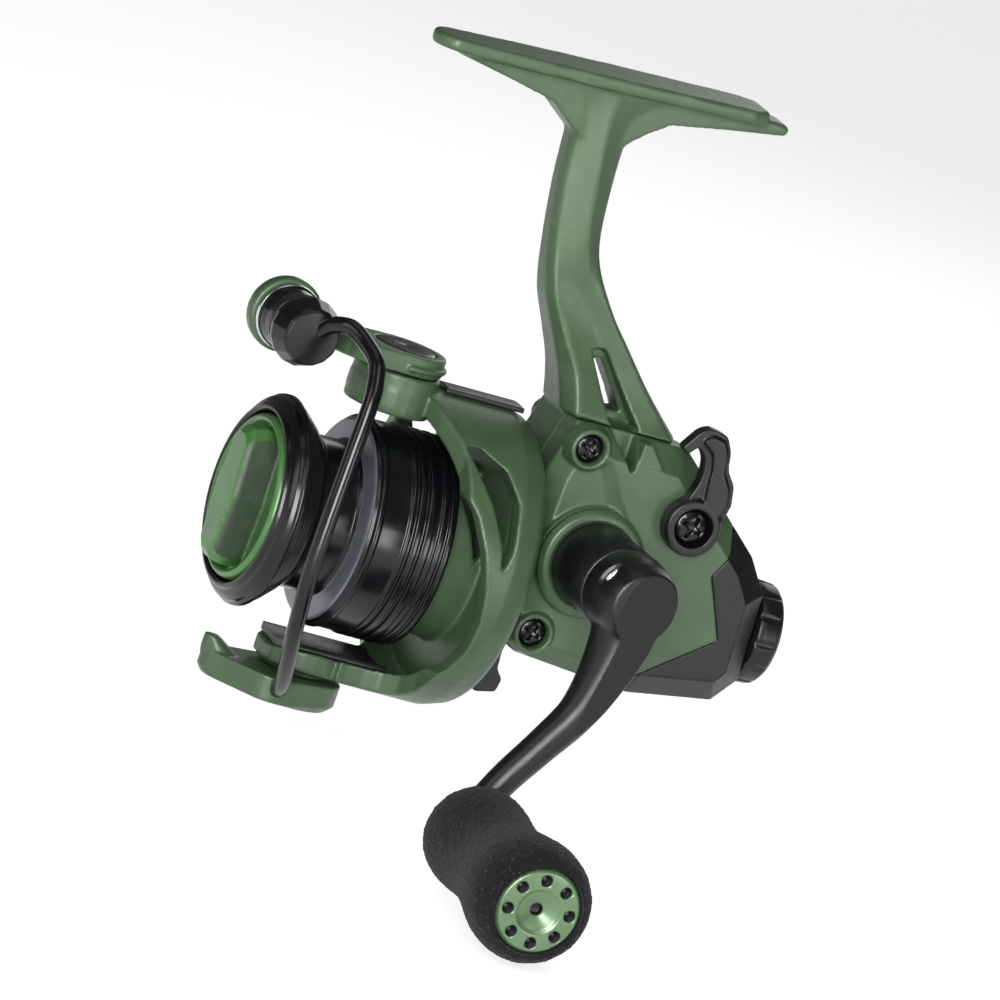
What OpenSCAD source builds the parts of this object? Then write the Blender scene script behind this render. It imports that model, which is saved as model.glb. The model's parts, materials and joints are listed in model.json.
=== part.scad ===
// Open-face spinning reel with a free-spool lever and a rear tension knob.
// Frame: origin at the centre of the foot's seat, +Z up to the rod, the spool
// looks along -X and the crank stands out along -Y.  All lengths in millimetres.

/* [Foot and stem] */
// Length of the foot along the rod
foot_len = 64; // [56:0.5:72]
// Width of the foot
foot_w = 12; // [10:0.5:14]
// Lean of the foot against the spool shaft, in degrees
foot_tilt = 2; // [0:0.5:4]
// Drop from the foot's seat to the spool shaft
axis_h = 85; // [82:0.5:88]
// Width of the stem across
stem_w = 10; // [8:0.5:12]

/* [Casing] */
// Half width of the casing across
case_half = 12.5; // [11:0.5:15]
// Wall thickness of the casing
wall = 1.7; // [1.2:0.1:2.5]
// Height of the parting line between stem and side cover
part_z = -56.5; // [-58:0.5:-55]

/* [Drive] */
// Crank axle, distance behind the seat's centre
axle_x = 20.2; // [18:0.2:22]
// Crank axle, height below the seat
axle_z = -78.5; // [-80:0.5:-77]
// Crank throw from the axle to the knob
crank_throw = 46.3; // [40:0.1:52]
// Teeth on the drive gear
gear_teeth = 40; // [32:4:48]
// Teeth on the pinion
pinion_teeth = 8; // [6:1:10]

/* [Rotor and bail] */
// Outer radius of the rotor
rotor_r = 26; // [24:0.5:28]
// Bail pivot, distance behind the seat's centre
bail_x = -18.5; // [-21:0.5:-16]
// Diameter of the bail wire
wire_d = 2.8; // [2:0.1:3.4]

/* [Spool] */
// Radius of the spool lip
lip_r = 18; // [16:0.5:20]
// Radius of the line arbor
arbor_r = 13; // [11:0.5:14]
// Radius of the spool skirt
skirt_r = 18.1; // [16.5:0.1:19]
// Diameter of the spool shaft
shaft_d = 4; // [3.5:0.1:5]

/* [Crank knob] */
// Outward lean of the knob's axle, in degrees
knob_lean = 3.8; // [0:0.2:6]
// Length of the foam grip
grip_len = 38; // [34:1:42]
// Largest radius of the foam grip
grip_r = 10.4; // [9:0.2:12]

/* [Hidden] */
roller_x = -38.6;
roller_z = -54.9;
fa = 96;
eps = 0.01;
run = 0.05;
shaft_r = shaft_d / 2;
knob_x = axle_x - 15.8 * crank_throw / 46.3;
knob_z = axle_z - 43.5 * crank_throw / 46.3;
crank_dir = atan2(knob_z - axle_z, knob_x - axle_x);
green = [0.27, 0.40, 0.27];
leaf = [0.36, 0.56, 0.33];
black = [0.10, 0.10, 0.11];
gloss = [0.06, 0.06, 0.07];
foam = [0.13, 0.13, 0.13];
steel = [0.72, 0.73, 0.75];
brass = [0.78, 0.64, 0.34];
felt = [0.55, 0.50, 0.42];

// Casing seen from the crank side, as [x, z]
case_pts = [[11.4, part_z], [32, part_z], [36.7, -61], [49.6, -71.2],
    [53.8, -77], [54.5, -92], [51, -96.4], [36, -98.8], [14.4, -97],
    [9.4, -92.5], [8.4, -84], [9, -66]];
// Edge where the rear cover meets the casing
seam_pts = [[44.4, -50], [44.4, -70.8], [42, -75.4], [46.9, -85.6],
    [32.9, -96.4], [31, -104]];
// Stem slices as [z, x front, x back, width across]
stem_pts = [[-4, -4.4, 8.4, stem_w - 0.4], [-12, -2.6, 6.4, stem_w - 1],
    [-30, 0.5, 8.8, stem_w - 1], [-38.6, 3.8, 13.6, stem_w - 0.4],
    [-47, 9.2, 22.4, stem_w + 1.6], [part_z, 11.6, 31.6, 2 * case_half - 7]];
screw_at = [[13.9, -60.2], [15.2, -92.6]];

// Points on an arc about (cx, cy) from angle a0 to a1
function arc(cx, cy, r, a0, a1, n) =
    [for (i = [0:n]) [cx + r * cos(a0 + (a1 - a0) * i / n),
                      cy + r * sin(a0 + (a1 - a0) * i / n)]];

// Puts local +Z along +X on the spool shaft's line
module on_shaft() translate([0, 0, -axis_h]) rotate([0, 90, 0]) children();

// Body turned about the shaft from [radius, x] points
module turned(pts) on_shaft() rotate_extrude($fn = fa) polygon(pts);

// Tube about the shaft between x0 and x1
module shaft_tube(x0, x1, r0, r1)
    turned([[r0, x0], [r1, x0], [r1, x1], [r0, x1]]);

// Local XY lies in the XZ plane and local +Z points to the crank side
module side() rotate([90, 0, 0]) children();

// Round bar across the reel between side distances s0 and s1
module cross_bar(x, z, s0, s1, r)
    side() translate([x, z, s0]) cylinder(r = r, h = s1 - s0, $fn = fa);

// Tube across the reel
module cross_tube(x, z, s0, s1, r0, r1) difference() {
    cross_bar(x, z, s0, s1, r1);
    cross_bar(x, z, s0 - 1, s1 + 1, r0);
}

// Slab of the casing outline, half thickness h, drawn in by d
module case_slab(h, d) side() translate([0, 0, -h])
    linear_extrude(2 * h) offset(delta = -d) polygon(case_pts);

// Casing volume, drawn in by t for the cavity
module casing(t) hull() {
    case_slab(case_half - t, 4.2 + 0.7 * t);
    case_slab(8.4 - 0.7 * t, t);
}

// Half space in front of the rear cover's seam
module seam_front(gap) side() translate([0, 0, -40]) linear_extrude(80)
    polygon(concat([[-60, -50]], [for (p = seam_pts) p - [gap, 0]],
        [[-60, -104]]));

// Half space on the crank side of side distance s
module crank_side(s) translate([-100, -100, -150])
    cube([250, 100 - s, 150 + part_z]);

// Stem slice, rounded at its corners
module stem_slice(p) translate([(p[1] + p[2]) / 2, 0, p[0]])
    linear_extrude(0.02) offset(r = 2.4, $fn = 32)
    square([p[2] - p[1] - 4.8, p[3] - 4.8], center = true);

module foot_shape() rotate([0, -foot_tilt, 0]) {
    // Seat plate with a rounded tongue in front and a square heel
    intersection() {
        side() translate([0, 0, -foot_w / 2]) linear_extrude(foot_w)
            polygon([[-foot_len / 2, 0], [foot_len / 2 - 4, 0],
                [foot_len / 2 - 3, -1], [foot_len / 2, -1.2],
                [foot_len / 2, -2.2], [10, -4.2], [-9, -5],
                [-foot_len / 2 + 2, -3.2], [-foot_len / 2, -2]]);
        translate([0, 0, -10]) linear_extrude(20)
            polygon(concat(arc(-foot_len / 2 + 4.6, 0, 4.6, 110, 250, 12),
                [[-8, -foot_w / 2], [2, -foot_w / 2], [foot_len / 2, -foot_w / 2 + 1],
                [foot_len / 2, foot_w / 2 - 1], [2, foot_w / 2], [-8, foot_w / 2]]));
    }
    // Rib under the plate that runs out to both ends
    side() translate([0, 0, -3]) linear_extrude(6)
        polygon([[-20, -3], [18, -2.4], [8, -7.5], [-4.5, -7.5]]);
}

module body_housing() color(green) difference() {
    union() {
        foot_shape();
        for (i = [0:4]) hull() {
            stem_slice(stem_pts[i]);
            stem_slice(stem_pts[i + 1]);
        }
        // Casing shell on the far side of the parting face
        difference() {
            intersection() {
                casing(0);
                seam_front(0);
            }
            casing(wall);
            crank_side(3);
        }
        // Collar that carries the one-way clutch and the pinion's bearing
        shaft_tube(4.3, 10.4, 7.5, 12.8);
        // Seat of the far axle bearing
        cross_bar(axle_x, axle_z, -case_half + 0.6, -8, 7.8);
        // Post for the guide rod
        translate([19, -1.5, -96.6]) cube([3, 9, 6.4]);
        // Boss of the level-wind gear
        cross_bar(33, -82.5, -11.6, -8.6, 3.6);
        // Screw posts
        for (p = screw_at) cross_bar(p[0], p[1], -11.5, 2.9, 2.6);
    }
    // Window through the stem, in a deeper recess on each side
    side() translate([0, 0, -20]) linear_extrude(40)
        polygon([[12.9, -46.6], [14.4, -46.6], [20.8, -54.4], [17, -54.4]]);
    for (s = [0, 1]) mirror([0, s, 0]) side() translate([0, 0, 3])
        linear_extrude(20) polygon([[11.4, -45], [13.8, -44.8], [22.9, -55.8],
            [17.4, -55.8]]);
    // Clutch pocket and bearing seat
    shaft_tube(4.2, 8, 0, 10.5);
    shaft_tube(7.9, 11.5, 0, 7.5);
    cross_bar(axle_x, axle_z, -14, -11, 4.2);
    cross_bar(axle_x, axle_z, -11.2, -7.9, 6.5);
    for (p = screw_at) cross_bar(p[0], p[1], -6, 3.5, 1.25);
    translate([18, 0, -93]) rotate([0, 90, 0]) cylinder(r = 1.25, h = 5, $fn = 48);
    cross_bar(33, -82.5, -11, -8, 2 + run);
    // Slot and pin holes for the reverse lever
    translate([13.2, 1, -103]) cube([4.6, 6, 9]);
    translate([11.4, 4, -96]) rotate([0, 90, 0]) cylinder(r = 0.65, h = 8, $fn = 32);
}

module side_cover() color(green) difference() {
    union() {
        difference() {
            intersection() {
                casing(0);
                seam_front(0);
                crank_side(3);
            }
            casing(wall);
        }
        cross_bar(axle_x, axle_z, 7.9, case_half - 0.2, 9.5);
        for (p = screw_at)
            cross_bar(p[0], p[1], 3, case_half - 1.6, 3.4);
        cross_bar(34.5, -67.8, 6, case_half, 4.4);
        // Floor of the notch below the parting line
        intersection() {
            casing(0);
            crank_side(5.6);
            side() linear_extrude(20) polygon([[15.8, part_z - 1], [23.6, part_z - 1],
                [23.4, -64.4], [21.2, -64.4]]);
        }
    }
    side() translate([0, 0, 7.4]) linear_extrude(20)
        polygon([[17.4, -50], [22.4, -50], [22.4, -62], [21.8, -62], [17.4, part_z]]);
    shaft_tube(0, 10.5, 0, 12.85);
    cross_bar(axle_x, axle_z, 7, 11.4, 6.5);
    cross_bar(axle_x, axle_z, 11, 20, 4.2);
    for (p = screw_at) {
        cross_bar(p[0], p[1], 2, 20, 1.45);
        cross_bar(p[0], p[1], case_half - 3.6, 20, 2.55);
    }
    cross_bar(34.5, -67.8, 5, 20, 1.5 + run);
    // Seat of the handle ring
    cross_bar(axle_x, axle_z, case_half - 0.2, 20, 9.45);
}

module rear_cover() color(black) difference() {
    union() {
        difference() {
            casing(0);
            casing(wall);
            seam_front(0);
        }
        // Sleeve that carries the rear knob
        shaft_tube(47.4, 54.4, 3.6, 7.4);
        // Rest for the guide rod
        translate([44, -3, -97]) cube([3, 6, 7]);
    }
    shaft_tube(47, 60, 0, 3.65);
    translate([40, 0, -93]) rotate([0, 90, 0]) cylinder(r = 1.25, h = 6, $fn = 48);
}

// Local +Z runs along the knob's axle; z = 0 lies at side distance 36
module on_knob() translate([knob_x, -36, knob_z])
    rotate([90 + knob_lean, 0, 0]) translate([0, 0, -36]) children();

// Cross-head screw with its head towards the crank side
module cross_screw(r_head, h_head, r_body, len) difference() {
    union() {
        cylinder(r = r_head, h = h_head, $fn = 48);
        translate([0, 0, -len]) cylinder(r = r_body, h = len, $fn = 32);
    }
    for (a = [0, 90]) rotate([0, 0, a + 20]) translate([0, 0, h_head])
        cube([r_head * 1.25, r_head * 0.28, h_head], center = true);
}

module cover_screws() color(gloss) for (p = screw_at)
    side() translate([p[0], p[1], case_half - 3.6])
    cross_screw(2.45, 1.6, 1.2, 13);

module handle_ring() color(green) side() translate([axle_x, axle_z, 0])
    rotate_extrude($fn = fa) polygon([[4.3, case_half - 0.2], [9.4, case_half - 0.2],
        [9.4, case_half + 0.9], [8.6, case_half + 1.7], [7.4, case_half + 1.7],
        [7.4, case_half + 0.8], [4.3, case_half + 0.8]]);

module axle_cap() color(black) difference() {
    side() translate([axle_x, axle_z, 0]) rotate_extrude($fn = fa)
        polygon([[0, -case_half - 2.6], [5.2, -case_half - 2.6],
            [6.2, -case_half - 1.8], [6.2, -case_half], [4.1, -case_half],
            [4.1, -11.3], [2.4, -11.3], [2.4, -case_half - 1], [0, -case_half - 1]]);
    for (a = [0:30:330]) side() translate([axle_x, axle_z, -case_half - 3])
        rotate([0, 0, a]) translate([6.3, 0, 0]) cylinder(r = 0.5, h = 4, $fn = 24);
}

// Shielded ball bearing between radii r0 and r1, from z = 0 to w
module bearing(r0, r1, w) {
    q = (r1 - r0) * 0.3;
    rotate_extrude($fn = fa) polygon([[r0, 0], [r0 + q, 0], [r0 + q, 0.2],
        [r1 - q, 0.2], [r1 - q, 0], [r1, 0], [r1, w], [r1 - q, w],
        [r1 - q, w - 0.2], [r0 + q, w - 0.2], [r0 + q, w], [r0, w]]);
}

module axle_bearings() color(steel) {
    side() translate([axle_x, axle_z, 8.4]) bearing(3.5, 6.45, 2.8);
    side() translate([axle_x, axle_z, -11]) bearing(3.5, 6.45, 2.8);
}

module pinion_bearing() color(steel)
    on_shaft() translate([0, 0, 8.05]) bearing(3.25, 7.45, 2.3);

module clutch_ring() color(steel) difference() {
    shaft_tube(4.9, 7.9, 7.6, 10.4);
    // Wedge pockets for the rollers
    for (a = [0:60:300]) on_shaft() rotate([0, 0, a]) translate([7.6, 0, 4.8])
        cylinder(r = 1.2, h = 4, $fn = 32);
    for (a = [30:120:270]) on_shaft() rotate([0, 0, a]) translate([9, 0, 4])
        cylinder(r = 0.55, h = 4, $fn = 24);
}

module clutch_rollers() color(steel) for (a = [0:60:300])
    on_shaft() rotate([0, 0, a]) translate([7.6, 0, 5]) cylinder(r = 1, h = 2.8, $fn = 32);

module clutch_plate() color(steel) difference() {
    shaft_tube(4.3, 4.9, 7, 10.4);
    for (a = [30:120:270]) on_shaft() rotate([0, 0, a]) translate([9, 0, 4])
        cylinder(r = 0.55, h = 2, $fn = 24);
}

module plate_screws() color(steel) for (a = [30:120:270])
    on_shaft() rotate([0, 0, a]) translate([9, 0, 4.3]) {
        translate([0, 0, -0.4]) cylinder(r = 1, h = 0.4, $fn = 32);
        cylinder(r = 0.5, h = 2.4, $fn = 24);
    }

module guide_rod() color(steel) translate([19.4, 0, -93])
    rotate([0, 90, 0]) cylinder(r = 1.2, h = 26.4, $fn = 48);

// Ring of straight teeth with n teeth between radii ri and ro, height h
module tooth_ring(n, ri, ro, h) linear_extrude(h) {
    difference() {
        circle(r = ri + eps, $fn = fa);
        circle(r = ri - 1, $fn = fa);
    }
    for (i = [0:n - 1]) rotate([0, 0, i * 360 / n])
        polygon([[ri - 0.1, -PI * ri / n * 0.62], [ro, -PI * ri / n * 0.3],
            [ro, PI * ri / n * 0.3], [ri - 0.1, PI * ri / n * 0.62]]);
}

module drive_gear() color(brass) side() translate([axle_x, axle_z, 0]) {
    difference() {
        union() {
            translate([0, 0, -11.1]) cylinder(r = 3.45, h = 22.6, $fn = fa);
            translate([0, 0, -8]) cylinder(r = 3.8, h = 16.2, $fn = fa);
            translate([0, 0, 5.6]) cylinder(r = 9.3, h = 2, $fn = fa);
            // Small gear that turns the level-wind gear
            translate([0, 0, -7]) tooth_ring(12, 4.2, 5.2, 2.4);
        }
        translate([0, 0, -12]) cylinder(r = 2.1, h = 30, $fn = 4);
        for (a = [0:60:300]) rotate([0, 0, a]) translate([5.9, 0, 5])
            cylinder(r = 1.2, h = 4, $fn = 32);
    }
    // Face teeth, slanted as on a hypoid wheel
    for (i = [0:gear_teeth - 1]) rotate([0, 0, i * 360 / gear_teeth])
        translate([6, -0.35, 4.5]) rotate([0, 0, 12])
        linear_extrude(1.12) polygon([[0, 0.1], [3, -0.05], [3, 0.65], [0, 0.5]]);
}

module crank_collar() color(black) side() translate([axle_x, axle_z, 0])
    rotate_extrude($fn = fa) polygon([[2.6, case_half - 1], [4, case_half - 1],
        [4, case_half + 1], [6.8, case_half + 1], [6.8, case_half + 2.2],
        [7.4, case_half + 3], [7.4, 29], [2.6, 29]]);

module crank_arm() color(black) difference() {
    crank_body();
    on_knob() translate([0, 0, 30]) cylinder(r = 2, h = 12, $fn = 48);
}

module crank_body() {
    d = crank_dir;
    side() translate([axle_x, axle_z, 0]) rotate([0, 0, d]) difference() {
        union() {
            // Head that swells round the axle and narrows to the arm
            hull() {
                translate([0, 0, 29]) cylinder(r = 7.4, h = 4, $fn = 48);
                translate([0.6, 0, 33]) cylinder(r = 6.8, h = 6.4, $fn = 48);
                translate([9, 1.6, 33]) cylinder(r = 4.8, h = 6, $fn = 32);
            }
            hull() {
                translate([9, 1.6, 33]) cylinder(r = 4.8, h = 6, $fn = 32);
                translate([18, 3, 34]) cylinder(r = 3.3, h = 5, $fn = 32);
            }
            hull() {
                translate([18, 3, 34]) cylinder(r = 3.3, h = 5, $fn = 32);
                translate([28, 1.6, 34.4]) cylinder(r = 2.9, h = 4.2, $fn = 32);
            }
            hull() {
                translate([28, 1.6, 34.4]) cylinder(r = 2.9, h = 4.2, $fn = 32);
                translate([crank_throw, 0, 34.4]) cylinder(r = 3.3, h = 3.4, $fn = 32);
            }
        }
        // Slot for the fold button
        translate([-3.6, -3.4, 37.8]) cube([3, 1.8, 4]);
    }
    // Square driving end that passes through the gear
    side() translate([axle_x, axle_z, -10.5])
        cylinder(r = 2, h = 39.6, $fn = 4);
}

module fold_button() color(steel) side() translate([axle_x, axle_z, 0])
    rotate([0, 0, crank_dir]) translate([-3.5, -3.3, 37.8]) cube([2.8, 1.6, 1.4]);

module knob_axle() color(steel) on_knob()
    translate([0, 0, 34.6]) cylinder(r = 2, h = 31.4, $fn = 48);

module axle_nut() color(steel) on_knob() translate([0, 0, 66])
    difference() {
        cylinder(r = 3.4, h = 2.2, $fn = 48);
        translate([0, 0, 1.4]) cylinder(r = 1.6, h = 2, $fn = 6);
    }

// Outline of the foam grip as [radius, side distance]
function grip_outline() = let (g = 38.8, k = (grip_len - 0.4) / 38)
    [[5, g], [6.6, g], [8.2, g + 1.2 * k], [8.9, g + 3.2 * k],
     [8.8, g + 7 * k], [8.35, g + 12 * k], [8.5, g + 17 * k],
     [9.3, g + 22 * k], [grip_r - 0.2, g + 27 * k], [grip_r, g + 31 * k],
     [grip_r - 0.4, g + 34.4 * k], [9.1, g + 36.6 * k], [7.7, g + 37.6 * k],
     [7.7, g + 33 * k], [5, g + 33 * k]];

module knob_grip() color(foam) on_knob()
    rotate_extrude($fn = fa) polygon(grip_outline());

module knob_core() color(black) on_knob()
    rotate_extrude($fn = fa) polygon([[2 + run, 38.2], [4, 38.2], [4, 38.8],
        [4.95, 38.8], [4.95, 71.5], [7.6, 71.5], [7.6, 72.6], [3.8, 72.6],
        [3.8, 65.6], [2 + run, 65.6]]);

module knob_cap() color(leaf) on_knob() difference() {
    rotate_extrude($fn = fa) polygon([[0, 72.7], [7.4, 72.7], [7.4, 75.2],
        [6.8, 75.9], [4, 75.9], [3.4, 75.2], [0, 75]]);
    for (a = [0:45:315]) rotate([0, 0, a]) translate([5.4, 0, 73.8])
        cylinder(r = 0.95, h = 4, $fn = 32);
    translate([0, 0, 74]) cylinder(r = 0.9, h = 4, $fn = 32);
}

// Front edge of the rotor seen from the side, as [x, height above the shaft]
rim_pts = [[-26.4, 30], [-26.4, 21.6], [-20, 21.6], [-17.2, 20.6],
    [-13.5, 17.8], [-9.5, 14.5], [-6.3, 11.2], [-3.6, 5.8], [-1.6, 0],
    [-0.4, -5.8], [-0.2, -11.2], [-1.2, -15.6], [-3.4, -18.4], [-7.5, -20.2],
    [-14, -20.8], [-25, -21.2], [-25, -40], [10, -40], [10, 30]];

// Plan of the two arms, round at the front about the bail's pivot
arm_pts = concat([[12, -40], [-5, -40], [-9, -17], [-12.5, -10.4]],
    arc(bail_x, 0, 7.6, 305, 55, 16), [[-12.5, 10.4], [-9, 17], [-5, 40], [12, 40]]);

module rotor() color(green) difference() {
    union() {
        // Cup wall and arms, cut from one turned shell
        intersection() {
            turned([[22.6, -27], [rotor_r - 0.8, -27], [rotor_r, -20],
                [rotor_r, 2], [rotor_r - 1, 5.4], [rotor_r - 2, 6.6],
                [21.6, 6.6], [21.6, 2.2], [22.6, 1.4]]);
            side() translate([0, -axis_h, -40]) linear_extrude(80) polygon(rim_pts);
            translate([0, 0, -axis_h - 40]) linear_extrude(80) polygon(arm_pts);
        }
        shaft_tube(1.2, 3.8, 3.4, 22);
        shaft_tube(0.2, 1.3, 3.4, 7.5);
        // Hub wall that stands up inside the spool's skirt
        shaft_tube(-9, 1.4, 13.2, 15);
        // Pad under the bail arm
        translate([bail_x, 0, -axis_h + 20.6]) cylinder(r = 7.4, h = 7, $fn = fa);
        translate([bail_x, 0, -axis_h - 26]) cylinder(r = 6, h = 3.3, $fn = fa);
    }
    // Air windows beside the upper arm
    for (s = [0, 1]) mirror([0, s, 0]) side() translate([0, -axis_h, 3])
        linear_extrude(40) polygon([[-11.4, 20.6], [-6.6, 20.8], [-1.6, 18.6],
            [1, 14.4], [1.2, 7], [-0.2, 1.4], [-2.4, 7.2], [-5.6, 13.2]]);
    // Screw holes of the pivots
    translate([bail_x, 0, -axis_h + 19]) cylinder(r = 1.5, h = 12, $fn = 48);
    translate([bail_x, 0, -axis_h - 31]) cylinder(r = 1.5, h = 12, $fn = 48);
}

module arm_trim() color(black) intersection() {
    shaft_tube(-10, 4.4, rotor_r + 0.02, rotor_r + 0.9);
    translate([-10, -2.6, -axis_h]) cube([20, 5.2, 40]);
}

module arm_liner() color(black) intersection() {
    shaft_tube(-24, -5, 21.4, 22.55);
    translate([-25, -8.4, -130]) cube([20, 16.8, 130 - axis_h]);
}

module pinion() color(brass) difference() {
    union() {
        shaft_tube(-3, 11, 0, 3.2);
        shaft_tube(16.5, 17, 0, 3.2);
        on_shaft() translate([0, 0, 10.8]) {
            cylinder(r = 3, h = 5.8, $fn = fa);
            for (k = [0:pinion_teeth - 1]) rotate([0, 0, k * 360 / pinion_teeth])
                linear_extrude(5.8, twist = 20, slices = 6)
                polygon([[2.6, -0.9], [4.2, -0.35], [4.2, 0.35], [2.6, 0.9]]);
        }
    }
    shaft_tube(-5, 20, 0, shaft_r + run);
}

module clutch_sleeve() color(steel) shaft_tube(4, 8, 3.25, 6.5);

module rotor_nut() color(brass) difference() {
    on_shaft() translate([0, 0, -2.6]) cylinder(r = 6, h = 2.3, $fn = 6);
    shaft_tube(-4, 1, 0, 3.25);
}

module nut_washer() color(steel) shaft_tube(-0.3, 0.2, 3.25, 6.2);

module bail_pins() color(steel) for (s = [0, 1])
    translate([bail_x, 0, -axis_h]) rotate([180 * s, 0, 0]) {
        translate([0, 0, s == 0 ? 22.8 : 23.2]) cylinder(r = 1.45, h = s == 0 ? 6.6 : 7, $fn = 48);
        translate([0, 0, s == 0 ? 29.4 : 30.2]) cylinder(r = 2.6, h = 0.9, $fn = 48);
    }

module bail_arm() color(green) {
    h0 = -axis_h + 27.9;
    difference() {
        union() {
            // Hub over the upper pivot, drawn out to the line roller
            hull() {
                translate([bail_x, 0, h0]) cylinder(r = 7.2, h = 3.4, $fn = 48);
                translate([-26, 0.6, h0]) cylinder(r = 6, h = 3.4, $fn = 32);
            }
            hull() {
                translate([-27, 3.7, h0]) cylinder(r = 3.5, h = 3, $fn = 32);
                translate([-33, 7.2, h0]) cylinder(r = 2.6, h = 3, $fn = 32);
            }
            hull() {
                translate([-33, 7.2, h0]) cylinder(r = 2.6, h = 3, $fn = 32);
                translate([roller_x, 6.2, roller_z]) rotate([90, 0, 0])
                    cylinder(r = 5.6, h = 3, center = true, $fn = 48);
            }
            cross_bar(roller_x, roller_z, -8.2, -4.3, 5.8);
        }
        cross_bar(roller_x, roller_z, -7, -1, 1.55);
        translate([bail_x, 0, h0 - 1]) cylinder(r = 1.5 + run, h = 6, $fn = 48);
        translate([bail_x, 0, h0 + 1.4]) cylinder(r = 2.8, h = 6, $fn = 48);
        // Recess for the inlay
        translate([bail_x, 0, h0 + 2.6]) cylinder(r = 5.4, h = 2, $fn = fa);
    }
}

module arm_inlay() color(gloss)
    translate([bail_x, 0, -axis_h + 30.55]) cylinder(r = 5.3, h = 0.9, $fn = fa);

// Knots of the bail wire, from the roller's cone round to the lower lever
wire_knots = [[-37.4, -7.4, -54.2], [-36.6, -9.8, -51.9], [-35.2, -12, -50.9],
    [-33.9, -13.6, -50.9], [-32.4, -16.4, -52.1], [-31.3, -20, -53.8],
    [-31.1, -22, -56.1], [-31.5, -24.2, -60.2], [-32.6, -26.6, -69.8],
    [-33.3, -28, -81], [-33.2, -28, -90.7], [-31.4, -25.2, -99.1],
    [-28.7, -20.4, -105.5], [-25.8, -14.6, -110.8], [-24.2, -9.6, -113.4],
    [-24.2, -6, -114]];

// Point on a smooth curve through the knots, u from 0 to len - 1
function knot(k, i) = k[max(0, min(len(k) - 1, i))];
function curve(k, u) = let (i = min(floor(u), len(k) - 2), f = u - i,
    a = knot(k, i - 1), b = knot(k, i), c = knot(k, i + 1), d = knot(k, i + 2))
    0.5 * (2 * b + (c - a) * f + (2 * a - 5 * b + 4 * c - d) * f * f
    + (3 * b - 3 * c + d - a) * f * f * f);
function unit(v) = v / norm(v);

// Round bar along a smooth curve: n rings of m points, ref never along it
module swept(k, r, n, m, ref) {
    ring = [for (i = [0:n]) let (u = i * (len(k) - 1) / n,
        p = curve(k, u),
        t = unit(curve(k, u + 0.02) - curve(k, max(0, u - 0.02))),
        a = unit(cross(ref, t)), b = cross(t, a))
        for (j = [0:m - 1]) p + r * (cos(j * 360 / m) * a + sin(j * 360 / m) * b)];
    polyhedron(ring, concat([[for (j = [m - 1:-1:0]) j]],
        [for (i = [0:n - 1]) for (j = [0:m - 1])
            [i * m + j, i * m + (j + 1) % m, (i + 1) * m + (j + 1) % m, (i + 1) * m + j]],
        [[for (j = [0:m - 1]) n * m + j]]));
}

module bail_wire() color(gloss)
    swept(wire_knots, wire_d / 2, 60, 12, [0.88, -0.47, 0]);

module roller_cone() color(gloss) difference() {
    side() translate([roller_x, roller_z, 0]) rotate_extrude($fn = fa)
        polygon([[0, 3.4], [5.6, 3.4], [5.9, 4.4], [4.4, 9], [0, 9]]);
    cross_bar(roller_x, roller_z, 3, 7, 1.55);
}

module roller_axle() color(steel) cross_bar(roller_x, roller_z, -6.9, 6.9, 1.5);

module line_roller() color(steel) side() translate([roller_x, roller_z, 0])
    rotate_extrude($fn = fa) polygon([[2.6, -4], [5.2, -4], [5.2, -3.4],
        [4.1, -2], [3.9, -0.4], [4.1, 1.2], [5.2, 2.6], [5.2, 3.2], [2.6, 3.2]]);

module roller_bush() color(brass) cross_tube(roller_x, roller_z, -3.9, 3.1, 1.55, 2.6);

module bail_lever() color(green) {
    h0 = -axis_h - 31.3;
    difference() {
        union() {
            // Hub under the lower pivot, drawn forward into an upturned blade
            hull() {
                translate([bail_x, 0, h0]) cylinder(r = 7, h = 5, $fn = 48);
                translate([bail_x, 0, h0 + 1.4]) cylinder(r = 8.4, h = 3.6, $fn = 48);
                translate([-24.6, -6.4, h0 + 0.8]) cylinder(r = 4.6, h = 4.2, $fn = 32);
                translate([-28.5, 0, h0 + 0.8]) cylinder(r = 5.4, h = 4.2, $fn = 32);
            }
            hull() {
                translate([-28.5, 0, h0 + 0.8]) cylinder(r = 5.4, h = 4.2, $fn = 32);
                translate([-32, 0, h0 + 2]) cylinder(r = 3, h = 3, $fn = 32);
            }
            hull() {
                translate([-31.6, 0, h0 + 1.8]) cylinder(r = 3, h = 3, $fn = 32);
                translate([-34.2, 0, h0 + 5]) cylinder(r = 1.3, h = 2.4, $fn = 32);
            }
        }
        translate([bail_x, 0, h0 - 1]) cylinder(r = 1.5 + run, h = 8, $fn = 48);
        translate([bail_x, 0, h0 - 1]) cylinder(r = 2.8, h = 2.4, $fn = 48);
        // Socket of the wire's end
        translate([-24.2, -5.4, h0 + 2.7]) rotate([78, 0, 0])
            cylinder(r = 1.5, h = 10, $fn = 48);
    }
}

module lever_screw() color(steel) translate([-27.4, -2.4, -axis_h - 31.2])
    cylinder(r = 1.4, h = 0.72, $fn = 32);

module main_shaft() color(steel) shaft_tube(-39.4, 40, 0, shaft_r);

module slider_block() color(black) difference() {
    translate([28, -4.2, -95.6]) cube([8, 8.4, 15.4]);
    shaft_tube(20, 44, 0, shaft_r);
    translate([26, 0, -93]) rotate([0, 90, 0]) cylinder(r = 1.25, h = 12, $fn = 48);
    // Slot for the level-wind pin
    translate([30.2, 2.4, -97]) cube([3.6, 3, 20]);
    for (x = [29.6, 34.4]) translate([x, 0, -84]) cylinder(r = 0.8, h = 6, $fn = 32);
}

module slider_screws() color(steel) for (x = [29.6, 34.4])
    translate([x, 0, -83]) {
        cylinder(r = 0.75, h = 3, $fn = 32);
        translate([0, 0, 2.8]) cylinder(r = 1.4, h = 0.8, $fn = 32);
    }

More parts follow.
